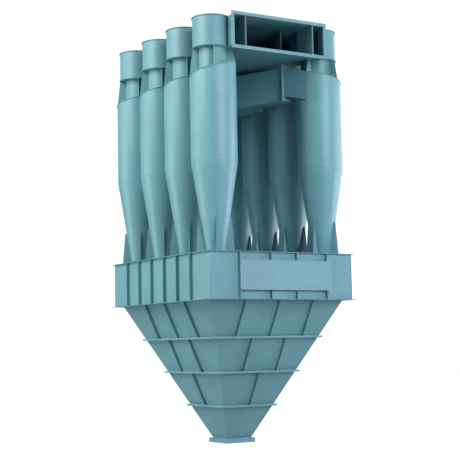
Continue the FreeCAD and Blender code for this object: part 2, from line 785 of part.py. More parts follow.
def build_gussets():
    """Gussets round the cones on the cover, and round the exhaust pipes on the lids."""
    feet, crowns = [], []
    radius, tip = size("barrel_radius"), size("cone_tip_radius")
    lean = (radius - tip) / size("cone_height")
    base, high = size("box_top_level"), size("foot_gusset_level")
    root = size("gusset_root")

    def cone_at(level):
        """Outside radius of the cone at a level."""
        return radius - (size("cone_top_level") - level) * lean

    for index in CYCLONES:
        body = Part.makeCone(tip, radius, size("cone_height"),
                             Vector(size("row_offset"), station(index),
                                    size("cone_top_level") - size("cone_height")))
        for angle in gusset_angles():
            outline = [(cone_at(base) - root, base), (size("foot_gusset_radius"), base),
                       (size("foot_gusset_top_radius"), high), (cone_at(high) - root, high)]
            feet.append(solids(radial_plate(index, angle, outline).cut(body)))
            bore, top = size("pipe_radius"), size("header_floor_level")
            foot = lid_level(angle - math.degrees(size("gusset_thickness") / 2 / bore))
            pipe = Part.makeCylinder(bore, 2 * top, Vector(size("row_offset"), station(index), 0))
            outline = [(bore - root, foot), (radius, foot), (size("crown_gusset_radius"), top),
                       (bore - root, top)]
            crowns.append(solids(radial_plate(index, angle, outline).cut(pipe)))
    node("foot_gussets", both_rows("FootGussets", feet))
    node("crown_gussets", both_rows("CrownGussets", crowns))


def write_parts():
    """Check every object and write each node's solids."""
    doc.recompute()
    for thing in doc.Objects:
        if "Invalid" in thing.State or "Error" in thing.State:
            raise RuntimeError("%s failed: %s" % (thing.Name, thing.State))
    for name, thing in NODES.items():
        shape = thing.Shape
        if shape.isNull() or not shape.isValid() or not shape.Solids:
            raise RuntimeError("%s has no valid shape" % name)
    os.makedirs("parts", exist_ok=True)
    for name, thing in NODES.items():
        solids(thing.Shape).exportStep("parts/%s.step" % name)
        print("%-24s %3d solids %.4f m3" % (name, len(thing.Shape.Solids), thing.Shape.Volume / 1e9))
    print(len(NODES), "nodes")


build_box()
build_sign_plate()
build_hopper()
build_ribs()
build_barrels()
build_lids()
build_pipes()
build_nozzles()
build_collector()
build_header()
build_gussets()
write_parts()
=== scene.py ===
"""Finish, weld beads, bolts and flanges of a group cyclone dust separator.

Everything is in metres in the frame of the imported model: X across the two rows of
cyclones, Y along them with the clean gas mouth at -Y, Z up.
"""
import json
import logging
import math
from dataclasses import dataclass
from enum import Enum
from typing import Iterable, Sequence

import bmesh
import bpy
from mathutils import Matrix, Vector


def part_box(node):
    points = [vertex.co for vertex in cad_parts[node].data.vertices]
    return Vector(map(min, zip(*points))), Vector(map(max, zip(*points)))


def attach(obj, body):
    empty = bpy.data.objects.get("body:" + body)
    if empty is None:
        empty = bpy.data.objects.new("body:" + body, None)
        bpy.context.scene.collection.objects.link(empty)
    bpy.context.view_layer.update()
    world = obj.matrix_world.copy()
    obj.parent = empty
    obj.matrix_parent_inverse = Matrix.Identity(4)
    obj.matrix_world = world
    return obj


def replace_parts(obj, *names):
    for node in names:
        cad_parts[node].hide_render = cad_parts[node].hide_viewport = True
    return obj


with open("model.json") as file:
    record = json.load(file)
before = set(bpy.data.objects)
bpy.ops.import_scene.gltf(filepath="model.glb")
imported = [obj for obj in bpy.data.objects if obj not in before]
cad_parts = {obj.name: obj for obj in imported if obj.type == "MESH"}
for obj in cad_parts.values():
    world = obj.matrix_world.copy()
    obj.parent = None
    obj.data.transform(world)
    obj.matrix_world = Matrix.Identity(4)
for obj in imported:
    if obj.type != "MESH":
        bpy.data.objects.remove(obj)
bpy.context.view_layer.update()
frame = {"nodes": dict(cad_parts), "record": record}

LOG = logging.getLogger("cyclone")
MILLIMETRE = 0.001
MERGE_DISTANCE = 0.01 * MILLIMETRE
FLANGE_MERGE_DISTANCE = 0.05 * MILLIMETRE
BEAD_SIDES = 5
WASHER_SIDES = 20
HOLE_SIDES = 20
BOLT_SEED = 11


class Finish(Enum):
    """Painted finishes of the separator and the record's slot that each belongs to."""

    SHELL = "shell_paint"
    DUCT = "duct_paint"
    CASING = "casing_paint"
    PLATE = "name_plate"


class Row(Enum):
    """The two rows of cyclones, as the sign of their X."""

    LEFT = -1
    RIGHT = 1

    def node(self, stem: str, number: int = 0) -> str:
        """Name of a node of this row.

        Args:
            stem: First part of the node's name.
            number: Place of a numbered node along the row, or 0.

        Returns:
            The full name.
        """
        name = f"{stem}_{self.name.lower()}"
        return f"{name}_{number}" if number else name


# ------------------------------------------------------------------------------ finishes
@dataclass(frozen=True)
class Enamel:
    """Sprayed machine enamel over steel plate.

    Attributes:
        name: Name of the material.
        tint: Colour of the dry film.
        roughness: Mean roughness, which drifts by gloss_drift either way.
        clouding: How far the tint drifts either way, between the two cloud_edges of the noise.
        peel_depth: Depth of the fine orange peel in the film, in metres.
        plate_wave: Depth of the plate's own slow waves, in metres.
    """

    name: str
    tint: tuple[float, float, float]
    roughness: float
    clouding: float = 0.05
    cloud_scale: float = 1.7
    cloud_edges: tuple[float, float] = (0.35, 0.65)
    film_scale: float = 9.0
    gloss_drift: float = 0.06
    peel_scale: float = 140.0
    peel_depth: float = 0.0004
    wave_scale: float = 2.6
    plate_wave: float = 0.004

    def material(self) -> bpy.types.Material:
        """Build the node material.

        Returns:
            The material, with its pattern on object coordinates.
        """
        made = bpy.data.materials.new(self.name)
        made.use_nodes = True
        nodes, links = made.node_tree.nodes, made.node_tree.links
        shader = nodes["Principled BSDF"]
        place = nodes.new("ShaderNodeTexCoord")

        def noise(scale: float, detail: float) -> bpy.types.Node:
            """Add noise on object coordinates, of a scale and a number of octaves."""
            made_noise = nodes.new("ShaderNodeTexNoise")
            made_noise.inputs["Scale"].default_value = scale
            made_noise.inputs["Detail"].default_value = detail
            links.new(place.outputs["Object"], made_noise.inputs["Vector"])
            return made_noise

        clouds = noise(self.cloud_scale, 4.0)
        tones = nodes.new("ShaderNodeValToRGB")
        gains = (1.0 - self.clouding, 1.0 + self.clouding)
        for stop, gain, edge in zip(tones.color_ramp.elements, gains, self.cloud_edges):
            stop.color = (*[channel * gain for channel in self.tint], 1.0)
            stop.position = edge
        links.new(clouds.outputs["Fac"], tones.inputs["Fac"])
        links.new(tones.outputs["Color"], shader.inputs["Base Color"])

        film = noise(self.film_scale, 3.0)
        gloss = nodes.new("ShaderNodeMapRange")
        gloss.inputs["To Min"].default_value = self.roughness - self.gloss_drift
        gloss.inputs["To Max"].default_value = self.roughness + self.gloss_drift
        links.new(film.outputs["Fac"], gloss.inputs["Value"])
        links.new(gloss.outputs["Result"], shader.inputs["Roughness"])

        peel, wave = noise(self.peel_scale, 2.0), noise(self.wave_scale, 1.0)
        fine, coarse = nodes.new("ShaderNodeBump"), nodes.new("ShaderNodeBump")
        fine.inputs["Distance"].default_value = self.peel_depth
        coarse.inputs["Distance"].default_value = self.plate_wave
        links.new(peel.outputs["Fac"], fine.inputs["Height"])
        links.new(wave.outputs["Fac"], coarse.inputs["Height"])
        links.new(coarse.outputs["Normal"], fine.inputs["Normal"])
        links.new(fine.outputs["Normal"], shader.inputs["Normal"])
        return made


ENAMELS = {
    Finish.SHELL: Enamel("shell_enamel", (0.126, 0.302, 0.352), 0.42),
    Finish.DUCT: Enamel("duct_enamel", (0.118, 0.284, 0.330), 0.46),
    Finish.CASING: Enamel("casing_enamel", (0.124, 0.292, 0.345), 0.50),
    Finish.PLATE: Enamel("plate_enamel", (0.170, 0.330, 0.400), 0.34, plate_wave=0.001),
}
MATERIALS = {finish: enamel.material() for finish, enamel in ENAMELS.items()}


def dress_frame() -> None:
    """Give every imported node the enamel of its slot."""
    slots = {part["node"]: part["material_slot"] for part in frame["record"]["subparts"]}
    for name, thing in frame["nodes"].items():
        thing.data.materials.clear()
        thing.data.materials.append(MATERIALS[Finish(slots[name])])
    LOG.info("dressed %d nodes", len(slots))


# ------------------------------------------------------------------------------ tools
class Recipe:
    """A Geometry Nodes tree with named inputs, built socket by socket."""

    def __init__(self, name: str) -> None:
        """Start a tree with one geometry in and one geometry out.

        Args:
            name: Name of the tree.
        """
        self.tree = bpy.data.node_groups.new(name, "GeometryNodeTree")
        self.tree.interface.new_socket("Geometry", in_out="OUTPUT", socket_type="NodeSocketGeometry")
        self.tree.interface.new_socket("Geometry", in_out="INPUT", socket_type="NodeSocketGeometry")
        self.inputs = self.tree.nodes.new("NodeGroupInput")

    def given(self, name: str, kind: str = "NodeSocketFloat") -> bpy.types.NodeSocket:
        """Add a named input.

        Args:
            name: Name of the input.
            kind: Blender's name for its type.

        Returns:
            The socket that carries its value.
        """
        self.tree.interface.new_socket(name, in_out="INPUT", socket_type=kind)
        return self.inputs.outputs[name]

    def add(self, kind: str, wires: dict[object, object] | None = None, **settings: object) -> bpy.types.Node:
        """Add a node.

        Args:
            kind: Blender's name for the node.
            wires: For each input, by name or number, a socket to link or a value to set.
            settings: Properties of the node.

        Returns:
            The new node.
        """
        made = self.tree.nodes.new(kind)
        for key, value in settings.items():
            setattr(made, key, value)
        for key, value in (wires or {}).items():
            if isinstance(value, bpy.types.NodeSocket):
                self.tree.links.new(value, made.inputs[key])
            else:
                made.inputs[key].default_value = value
        return made

    def join(self, sockets: Iterable[bpy.types.NodeSocket]) -> bpy.types.NodeSocket:
        """Join several geometries.

        Args:
            sockets: The geometries' sockets.

        Returns:
            The socket of the joined geometry.
        """
        joined = self.tree.nodes.new("GeometryNodeJoinGeometry")
        for socket in sockets:
            self.tree.links.new(socket, joined.inputs[0])
        return joined.outputs[0]

    def finish(self, result: bpy.types.NodeSocket) -> bpy.types.NodeTree:
        """End the tree with Realize Instances and Set Material.

        Args:
            result: Socket of the geometry that the tree makes.

        Returns:
            The finished tree.
        """
        paint = self.given("Paint", "NodeSocketMaterial")
        real = self.add("GeometryNodeRealizeInstances", {0: result})
        dressed = self.add("GeometryNodeSetMaterial", {"Geometry": real.outputs[0], "Material": paint})
        self.tree.links.new(dressed.outputs[0], self.tree.nodes.new("NodeGroupOutput").inputs[0])
        return self.tree


def bead_recipe() -> bpy.types.NodeTree:
    """Rippled weld bead along the edges of a mesh."""
    recipe = Recipe("weld_bead")
    pitch, throat, ripple = (recipe.given(name) for name in ("Pitch", "Throat", "Ripple"))
    path = recipe.add("GeometryNodeMeshToCurve", {"Mesh": recipe.inputs.outputs["Geometry"]})
    even = recipe.add("GeometryNodeResampleCurve", {"Curve": path.outputs[0], "Length": pitch},
                      mode="LENGTH")
    place = recipe.add("GeometryNodeInputIndex")
    every_other = recipe.add("ShaderNodeMath", {0: place.outputs[0], 1: 2.0}, operation="MODULO")
    swell = recipe.add("ShaderNodeMath", {0: every_other.outputs[0], 1: ripple, 2: 1.0},
                       operation="MULTIPLY_ADD")
    section = recipe.add("GeometryNodeCurvePrimitiveCircle", {"Resolution": BEAD_SIDES, "Radius": throat})
    bead = recipe.add("GeometryNodeCurveToMesh",
                      {"Curve": even.outputs[0], "Profile Curve": section.outputs[0],
                       "Scale": swell.outputs[0], "Fill Caps": True})
    smooth = recipe.add("GeometryNodeSetShadeSmooth", {"Geometry": bead.outputs[0]})
    return recipe.finish(smooth.outputs[0])


def edging_recipe() -> bpy.types.NodeTree:
    """Flat bar swept upright along the edges of a mesh."""
    recipe = Recipe("edging_bar")
    width, height = recipe.given("Width"), recipe.given("Height")
    path = recipe.add("GeometryNodeMeshToCurve", {"Mesh": recipe.inputs.outputs["Geometry"]})
    level = recipe.add("GeometryNodeSetCurveNormal", {"Curve": path.outputs[0]}, mode="Z_UP")
    section = recipe.add("GeometryNodeCurvePrimitiveQuadrilateral", {"Width": width, "Height": height})
    bar = recipe.add("GeometryNodeCurveToMesh",
                     {"Curve": level.outputs[0], "Profile Curve": section.outputs[0], "Fill Caps": True})
    return recipe.finish(bar.outputs[0])


def bolt_recipe() -> bpy.types.NodeTree:
    """Hexagon head on a washer at every point, along the attribute 'facing'."""
    recipe = Recipe("hex_bolts")
    names = ("Corner Radius", "Head", "Washer", "Plate")
    radius, head, washer, plate = (recipe.given(name) for name in names)
    hexagon = recipe.add("GeometryNodeMeshCylinder", {"Vertices": 6, "Radius": radius, "Depth": head})
    raised = recipe.add("ShaderNodeMath", {0: head, 1: 0.5, 2: plate}, operation="MULTIPLY_ADD")
    lift = recipe.add("ShaderNodeCombineXYZ", {"Z": raised.outputs[0]})
    seated = recipe.add("GeometryNodeTransform",
                        {"Geometry": hexagon.outputs[0], "Translation": lift.outputs[0]})
    disc = recipe.add("GeometryNodeMeshCylinder",
                      {"Vertices": WASHER_SIDES, "Radius": washer, "Depth": plate})
    half = recipe.add("ShaderNodeMath", {0: plate, 1: 0.5}, operation="MULTIPLY")
    low = recipe.add("ShaderNodeCombineXYZ", {"Z": half.outputs[0]})
    laid = recipe.add("GeometryNodeTransform",
                      {"Geometry": disc.outputs[0], "Translation": low.outputs[0]})
    bolt = recipe.join([seated.outputs[0], laid.outputs[0]])
    facing = recipe.add("GeometryNodeInputNamedAttribute", {"Name": "facing"}, data_type="FLOAT_VECTOR")
    aligned = recipe.add("FunctionNodeAlignRotationToVector", {"Vector": facing.outputs[0]}, axis="Z")
    bolts = recipe.add("GeometryNodeInstanceOnPoints",
                       {"Points": recipe.inputs.outputs["Geometry"], "Instance": bolt,
                        "Rotation": aligned.outputs[0]})
    one_flat = math.pi / 3
    spin = recipe.add("FunctionNodeRandomValue", {1: (0.0, 0.0, one_flat), "Seed": BOLT_SEED},
                      data_type="FLOAT_VECTOR")
    turned = recipe.add("GeometryNodeRotateInstances",
                        {"Instances": bolts.outputs[0], "Rotation": spin.outputs[0]})
    return recipe.finish(turned.outputs[0])


def flange_recipe() -> bpy.types.NodeTree:
    """Rectangular flange in the XY plane, drilled at every point and thick along Z."""
    recipe = Recipe("drilled_flange")
    names = ("Outer Width", "Outer Height", "Inner Width", "Inner Height", "Hole Radius", "Thickness")
    outer_w, outer_h, inner_w, inner_h, hole, thick = (recipe.given(name) for name in names)
    borders = [recipe.add("GeometryNodeCurvePrimitiveQuadrilateral", {"Width": w, "Height": h}).outputs[0]
               for w, h in ((outer_w, outer_h), (inner_w, inner_h))]
    ring = recipe.add("GeometryNodeCurvePrimitiveCircle", {"Resolution": HOLE_SIDES, "Radius": hole})
    drilled = recipe.add("GeometryNodeInstanceOnPoints",
                         {"Points": recipe.inputs.outputs["Geometry"], "Instance": ring.outputs[0]})
    holes = recipe.add("GeometryNodeRealizeInstances", {0: drilled.outputs[0]})
    face = recipe.add("GeometryNodeFillCurve", {"Curve": recipe.join(borders + [holes.outputs[0]])})
    up = recipe.add("ShaderNodeCombineXYZ", {"Z": 1.0})
    raised = recipe.add("GeometryNodeExtrudeMesh",
                        {"Mesh": face.outputs[0], "Offset": up.outputs[0], "Offset Scale": thick,
                         "Individual": False})
    back = recipe.add("GeometryNodeFlipFaces", {"Mesh": face.outputs[0]})
    closed = recipe.add("GeometryNodeMergeByDistance",
                        {"Geometry": recipe.join([raised.outputs[0], back.outputs[0]]),
                         "Distance": FLANGE_MERGE_DISTANCE})
    return recipe.finish(closed.outputs[0])


def grown(name: str, source: bpy.types.Mesh, recipe: bpy.types.NodeTree, finish: Finish,
          **sizes: float) -> bpy.types.Object:
    """Grow a plain mesh piece from a source mesh with a recipe.

    Args:
        name: Name of the piece.
        source: Points or edges that the recipe works on.
        recipe: Geometry Nodes tree.
        finish: Paint of the piece.
        sizes: Values of the recipe's inputs, with underscores for spaces.

    Returns:
        The piece, untransformed and with no modifier.
    """
    holder = bpy.data.objects.new(name + "_source", source)
    bpy.context.scene.collection.objects.link(holder)
    modifier = holder.modifiers.new("recipe", "NODES")
    modifier.node_group = recipe
    values = {key.replace("_", " "): value for key, value in sizes.items()}
    values["Paint"] = MATERIALS[finish]
    for item in recipe.interface.items_tree:
        if item.in_out == "INPUT" and item.name in values:
            modifier[item.identifier] = values[item.name]
    graph = bpy.context.evaluated_depsgraph_get()
    mesh = bpy.data.meshes.new_from_object(holder.evaluated_get(graph), depsgraph=graph)
    bpy.data.objects.remove(holder)
    mesh.name = name
    return placed(name, mesh, finish)


def placed(name: str, mesh: bpy.types.Mesh, finish: Finish) -> bpy.types.Object:
    """Link a finished mesh as a piece of the separator.

    Args:
        name: Name of the piece.
        mesh: Its mesh, in the separator's frame.
        finish: Its paint.

    Returns:
        The piece, riding on the one body.
    """
    if not mesh.materials:
        mesh.materials.append(MATERIALS[finish])
    piece = bpy.data.objects.new(name, mesh)
    bpy.context.scene.collection.objects.link(piece)
    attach(piece, "root")
    LOG.info("%s: %d faces", name, len(mesh.polygons))
    return piece


BEAD = bead_recipe()
EDGING = edging_recipe()
BOLTS = bolt_recipe()
FLANGE = flange_recipe()


@dataclass(frozen=True)
class Run:
    """A line of points, closed or open, that a bead or a bar follows."""

    points: tuple[Vector, ...]
    closed: bool = False


@dataclass(frozen=True)
class Weld:
    """A rippled weld bead: its throat, the pitch of its ripples and how far they swell."""

    throat: float
    pitch: float = 0.012
    ripple: float = 0.28

    def lay(self, name: str, runs: Iterable[Run], finish: Finish) -> None:
        """Lay the bead along runs as one piece.

        Args:
            name: Name of the piece.
            runs: Lines that the bead follows.
            finish: Paint over the bead.
        """
        grown(name, runs_mesh(name, runs), BEAD, finish,
              Pitch=self.pitch, Throat=self.throat, Ripple=self.ripple)


def smoothed(node: str, finish: Finish, crease: float = 30.0) -> None:
    """Stand a merged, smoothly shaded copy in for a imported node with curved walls.

    Args:
        node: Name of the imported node.
        finish: Paint of the copy.
        crease: Angle in degrees past which an edge stays sharp.
    """
    shape = bmesh.new()
    shape.from_mesh(frame["nodes"][node].data)
    bmesh.ops.remove_doubles(shape, verts=shape.verts, dist=MERGE_DISTANCE)
    mesh = bpy.data.meshes.new(node + "_smooth")
    shape.to_mesh(mesh)
    shape.free()
    mesh.materials.clear()
    mesh.shade_smooth()
    mesh.set_sharp_from_angle(angle=math.radians(crease))
    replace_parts(placed(node + "_smooth", mesh, finish), node)


def ring_run(centre: Vector, radius: float, level: float, steps: int = 96) -> Run:
    """Level circle round an upright axis.

    Args:
        centre: Any point of the axis.
        radius: Radius of the circle.
        level: Height of the circle.
        steps: Number of its points.

    Returns:
        A closed run.
    """
    turns = (2 * math.pi * step / steps for step in range(steps))
    return Run(tuple(Vector((centre.x + radius * math.cos(turn), centre.y + radius * math.sin(turn), level))
                     for turn in turns), closed=True)


def frame_run(half_x: float, half_y: float, level: float) -> Run:
    """Level rectangle round the separator's axis.

    Args:
        half_x: Half its size across the rows.
        half_y: Half its size along them.
        level: Its height.

    Returns:
        A closed run.
    """
    corners = ((-half_x, -half_y), (half_x, -half_y), (half_x, half_y), (-half_x, half_y))
    return Run(tuple(Vector((x, y, level)) for x, y in corners), closed=True)


def runs_mesh(name: str, runs: Iterable[Run]) -> bpy.types.Mesh:
    """Mesh of loose edges that holds every run.

    Args:
        name: Name of the piece that will grow from it.
        runs: Lines to hold.

    Returns:
        The mesh.
    """
    vertices: list[Vector] = []
    edges: list[tuple[int, int]] = []
    for run in runs:
        first, count = len(vertices), len(run.points)
        vertices += run.points
        edges += [(first + step, first + step + 1) for step in range(count - 1)]
        if run.closed:
            edges.append((first + count - 1, first))
    mesh = bpy.data.meshes.new(name + "_runs")
    mesh.from_pydata(vertices, edges, [])
    return mesh


# ------------------------------------------------------------------------------ cyclones
@dataclass(frozen=True)
class Cyclone:
    """One cyclone's place and sizes, read from its packed shell."""

    row: Row
    number: int
    axis: Vector
    radius: float
    cone_level: float
    tip_radius: float
    tip_level: float

    @classmethod
    def read(cls, row: Row, number: int) -> "Cyclone":
        """Measure one packed shell.

        Args:
            row: Row that the cyclone stands in.
            number: Its place from the clean gas mouth, from 1.

        Returns:
            The cyclone.
        """
        name = row.node("cyclone_body", number)
        low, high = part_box(name)
        axis = Vector(((low[0] + high[0]) / 2, (low[1] + high[1]) / 2, 0.0))
        radius = (high[0] - low[0]) / 2
        spread = [(math.hypot(v.co.x - axis.x, v.co.y - axis.y), v.co.z)
                  for v in frame["nodes"][name].data.vertices]
        cone_level = min(level for reach, level in spread if reach > radius - MILLIMETRE)
        tip = max(reach for reach, level in spread if level < low[2] + MILLIMETRE)
        return cls(row, number, axis, radius, cone_level, tip, low[2])

    def cone_radius(self, level: float) -> float:
        """Outside radius of the cone.

        Args:
            level: Height at which it is wanted.

        Returns:
            The radius.
        """
        share = (level - self.tip_level) / (self.cone_level - self.tip_level)
        return self.tip_radius + (self.radius - self.tip_radius) * share


def all_cyclones() -> list[Cyclone]:
    """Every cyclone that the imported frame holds, row by row."""
    per_row = sum(name.startswith(Row.LEFT.node("cyclone_body")) for name in frame["nodes"])
    return [Cyclone.read(row, number) for row in Row for number in range(1, per_row + 1)]


def exhaust_radius(cyclones: Sequence[Cyclone]) -> float:
    """Outside radius of the exhaust pipes, which stand on the cyclones' axes."""
    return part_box("exhaust_pipes")[1][0] - max(cyclone.axis.x for cyclone in cyclones)


@dataclass
class Shells:
    """Seams, lid edges and pipe joints of all eight cyclones."""

    cyclones: Sequence[Cyclone]
    weld: Weld = Weld(throat=0.006)
    edge_width: float = 0.012
    edge_height: float = 0.010
    lid_start: float = -157.5
    lid_pitch: float = 0.594
    lid_steps: int = 72

    def lid_run(self, cyclone: Cyclone, radius: float, drop: float) -> Run:
        """Line that falls with a cyclone's lid through one turn.

        Args:
            cyclone: Cyclone under the lid.
            radius: Distance of the line from the cyclone's axis.
            drop: How far it stands below the lid's top.

        Returns:
            An open run.
        """
        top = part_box("helical_lids")[1][2] - drop
        points = []
        for step in range(self.lid_steps + 1):
            share = step / self.lid_steps
            turn = math.radians(self.lid_start + 360.0 * share)
            points.append(Vector((cyclone.axis.x + cyclone.row.value * radius * math.cos(turn),
                                  cyclone.axis.y + radius * math.sin(turn), top - self.lid_pitch * share)))
        return Run(tuple(points))

    def seams(self) -> list[Run]:
        """Every weld of the shells."""
        cover_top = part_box("cover_plate")[1][2]
        floor_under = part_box("header_floor")[0][2]
        pipe_radius = exhaust_radius(self.cyclones)
        runs = []
        for cyclone in self.cyclones:
            runs += [ring_run(cyclone.axis, cyclone.radius - self.weld.throat / 2, cyclone.cone_level),
                     ring_run(cyclone.axis, cyclone.cone_radius(cover_top), cover_top),
                     ring_run(cyclone.axis, pipe_radius, floor_under),
                     self.lid_run(cyclone, pipe_radius, 0.0)]
        return runs

    def build(self) -> None:
        """Smooth the shells, lay the weld beads and the lids' edges."""
        for node in [c.row.node("cyclone_body", c.number) for c in self.cyclones] + ["helical_lids"]:
            smoothed(node, Finish.SHELL)
        smoothed("exhaust_pipes", Finish.DUCT)
        self.weld.lay("shell_welds", self.seams(), Finish.SHELL)
        outward = self.edge_width / 2 - MILLIMETRE
        edges = [self.lid_run(cyclone, cyclone.radius + outward, self.edge_height / 2)
                 for cyclone in self.cyclones]
        grown("lid_edges", runs_mesh("lid_edges", edges), EDGING, Finish.SHELL,
              Width=self.edge_width, Height=self.edge_height)


# ------------------------------------------------------------------------------ ducts
@dataclass
class GasFlange:
    """Drilled flange that stands in for a plain one round a gas mouth."""

    node: str
    rim: float
    drilled_on_top: bool = True
    hole_radius: float = 0.009
    inset: float = 0.035
    pitch: float = 0.165
    wall: float = 0.006

    def holes(self, half_w: float, half_h: float) -> bpy.types.Mesh:
        """Centres of the bolt holes round the rim.

        Args:
            half_w: Half the flange's width.
            half_h: Half its height.

        Returns:
            A mesh of points in the flange's own plane.
        """
        across, up = half_w - self.inset, half_h - self.inset
        corners = [Vector((-across, -up, 0)), Vector((across, -up, 0)), Vector((across, up, 0)),
                   Vector((-across, up, 0))]
        centres = []
        for start, end in zip(corners, corners[1:] + corners[:1]):
            on_top = start.y > 0 and end.y > 0
            count = 1 if on_top and not self.drilled_on_top else round((end - start).length / self.pitch)
            centres += [start.lerp(end, step / count) for step in range(count)]
        mesh = bpy.data.meshes.new(self.node + "_holes")
        mesh.from_pydata(centres, [], [])
        return mesh

    def build(self) -> None:
        """Make the flange and hide the plain one."""
        low, high = (Vector(corner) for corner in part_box(self.node))
        size, middle = high - low, (low + high) / 2
        opening = 2 * (self.rim + self.wall)
        piece = grown(self.node + "_drilled", self.holes(size.x / 2, size.z / 2), FLANGE, Finish.DUCT,
                      Outer_Width=size.x, Outer_Height=size.z, Inner_Width=size.x - opening,
                      Inner_Height=size.z - opening, Hole_Radius=self.hole_radius, Thickness=size.y)
        stand = Matrix.Translation((middle.x, high.y, middle.z)) @ Matrix.Rotation(math.pi / 2, 4, "X")
        piece.data.transform(stand)
        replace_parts(piece, self.node)


@dataclass
class Nozzles:
    """Bolts of the eight sloping inlets' flanges."""

    cyclones: Sequence[Cyclone]
    turn: float = 22.5
    length: float = 0.540
    rim: float = 0.060
    width: float = 0.182
    bolt_line: float = 0.030
    bolt_pitch: float = 0.110
    corner_radius: float = 0.0139
    head: float = 0.010
    washer: float = 0.015
    washer_plate: float = 0.0025

    def bolts(self) -> bpy.types.Mesh:
        """Places and directions of the bolts through the nozzle flanges."""
        low, high = (corner[2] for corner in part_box(Row.RIGHT.node("inlet_nozzles")))
        turn = math.radians(self.turn)
        inward = Vector((math.cos(turn), math.sin(turn), 0.0))
        back = Vector((-math.sin(turn), math.cos(turn), 0.0))
        left, right = self.bolt_line - self.rim, self.width + self.rim - self.bolt_line
        bottom, top = low + self.bolt_line, high - self.bolt_line
        rows = max(2, round((top - bottom) / self.bolt_pitch))
        spots = [(across, bottom + (top - bottom) * step / rows)
                 for step in range(rows + 1) for across in (left, right)]
        spots += [((left + right) / 2, level) for level in (bottom, top)]
        places, directions = [], []
        for cyclone in self.cyclones:
            mirror = Vector((cyclone.row.value, 1.0, 1.0))
            for across, level in spots:
                reach = back * self.length + inward * (across - cyclone.radius)
                places.append(cyclone.axis + reach * mirror + Vector((0.0, 0.0, level)))
                directions.append(-back * mirror)
        mesh = bpy.data.meshes.new("nozzle_bolts_points")
        mesh.from_pydata(places, [], [])
        facing = mesh.attributes.new("facing", "FLOAT_VECTOR", "POINT")
        for value, direction in zip(facing.data, directions):
            value.vector = direction
        return mesh

    def build(self) -> None:
        """Set the bolts."""
        grown("nozzle_bolts", self.bolts(), BOLTS, Finish.DUCT, Corner_Radius=self.corner_radius,
              Head=self.head, Washer=self.washer, Plate=self.washer_plate)


@dataclass
class Header:
    """Edge bars, lips and welds of the clean gas header."""

    cyclones: Sequence[Cyclone]
    bar_width: float = 0.024
    bar_depth: float = 0.010
    side_share: float = 0.9
    weld: Weld = Weld(throat=0.005)
    lip_width: float = 0.016
    lip_height: float = 0.014
    scroll_gap: float = 0.063
    scroll_growth: float = 0.117
    scroll_start: float = -120.0
    scroll_end: float = 180.0
    scroll_steps: int = 60

    def partition_runs(self) -> list[Run]:
        """Upright lines at the first partitions' edges, from the header's floor to its roof.

        A partition is told from the header's own side by standing within side_share of the flange.
        """
        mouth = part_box("mouth_flange")[1][1]
        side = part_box("mouth_flange")[1][0] * self.side_share
        low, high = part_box("header_floor")[1][2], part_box("header_roof")[0][2]
        runs = []
        for row in Row:
            sides = frame["nodes"][row.node("header_sides")].data.vertices
            edge = [v.co.x for v in sides if v.co.y < mouth + MILLIMETRE and abs(v.co.x) < side]
            middle = (min(edge) + max(edge)) / 2
            place = Vector((middle, mouth + self.bar_depth / 2, 0.0))
            runs.append(Run((place + Vector((0.0, 0.0, low)), place + Vector((0.0, 0.0, high)))))
        return runs

    def scroll_runs(self, outward: float) -> list[Run]:
        """Lines that follow each scroll's wall along the header's floor and roof.

        Args:
            outward: How far the lines stand outside the wall.

        Returns:
            Two open runs for each scroll.
        """
        inside = exhaust_radius(self.cyclones) + self.scroll_gap + outward
        levels = (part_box("header_floor")[1][2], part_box("header_roof")[0][2])
        runs = []
        for cyclone in self.cyclones:
            for level in levels:
                points = []
                for step in range(self.scroll_steps + 1):
                    share = step / self.scroll_steps
                    turn = math.radians(self.scroll_start + (self.scroll_end - self.scroll_start) * share)
                    reach = inside + self.scroll_growth * share
                    points.append(cyclone.axis + Vector((cyclone.row.value * reach * math.cos(turn),
                                                         reach * math.sin(turn), level)))
                runs.append(Run(tuple(points)))
        return runs

    def build(self) -> None:
        """Smooth the scrolls, fit the edge bars and lay the welds."""
        for row in Row:
            smoothed(row.node("scroll_walls"), Finish.DUCT)
        grown("partition_edges", runs_mesh("partition_edges", self.partition_runs()), EDGING, Finish.DUCT,
              Width=self.bar_width, Height=self.bar_depth)
        self.weld.lay("header_welds", self.scroll_runs(0.0), Finish.DUCT)
        lips = runs_mesh("scroll_lips", self.scroll_runs(self.lip_width / 2))
        grown("scroll_lips", lips, EDGING, Finish.DUCT, Width=self.lip_width, Height=self.lip_height)


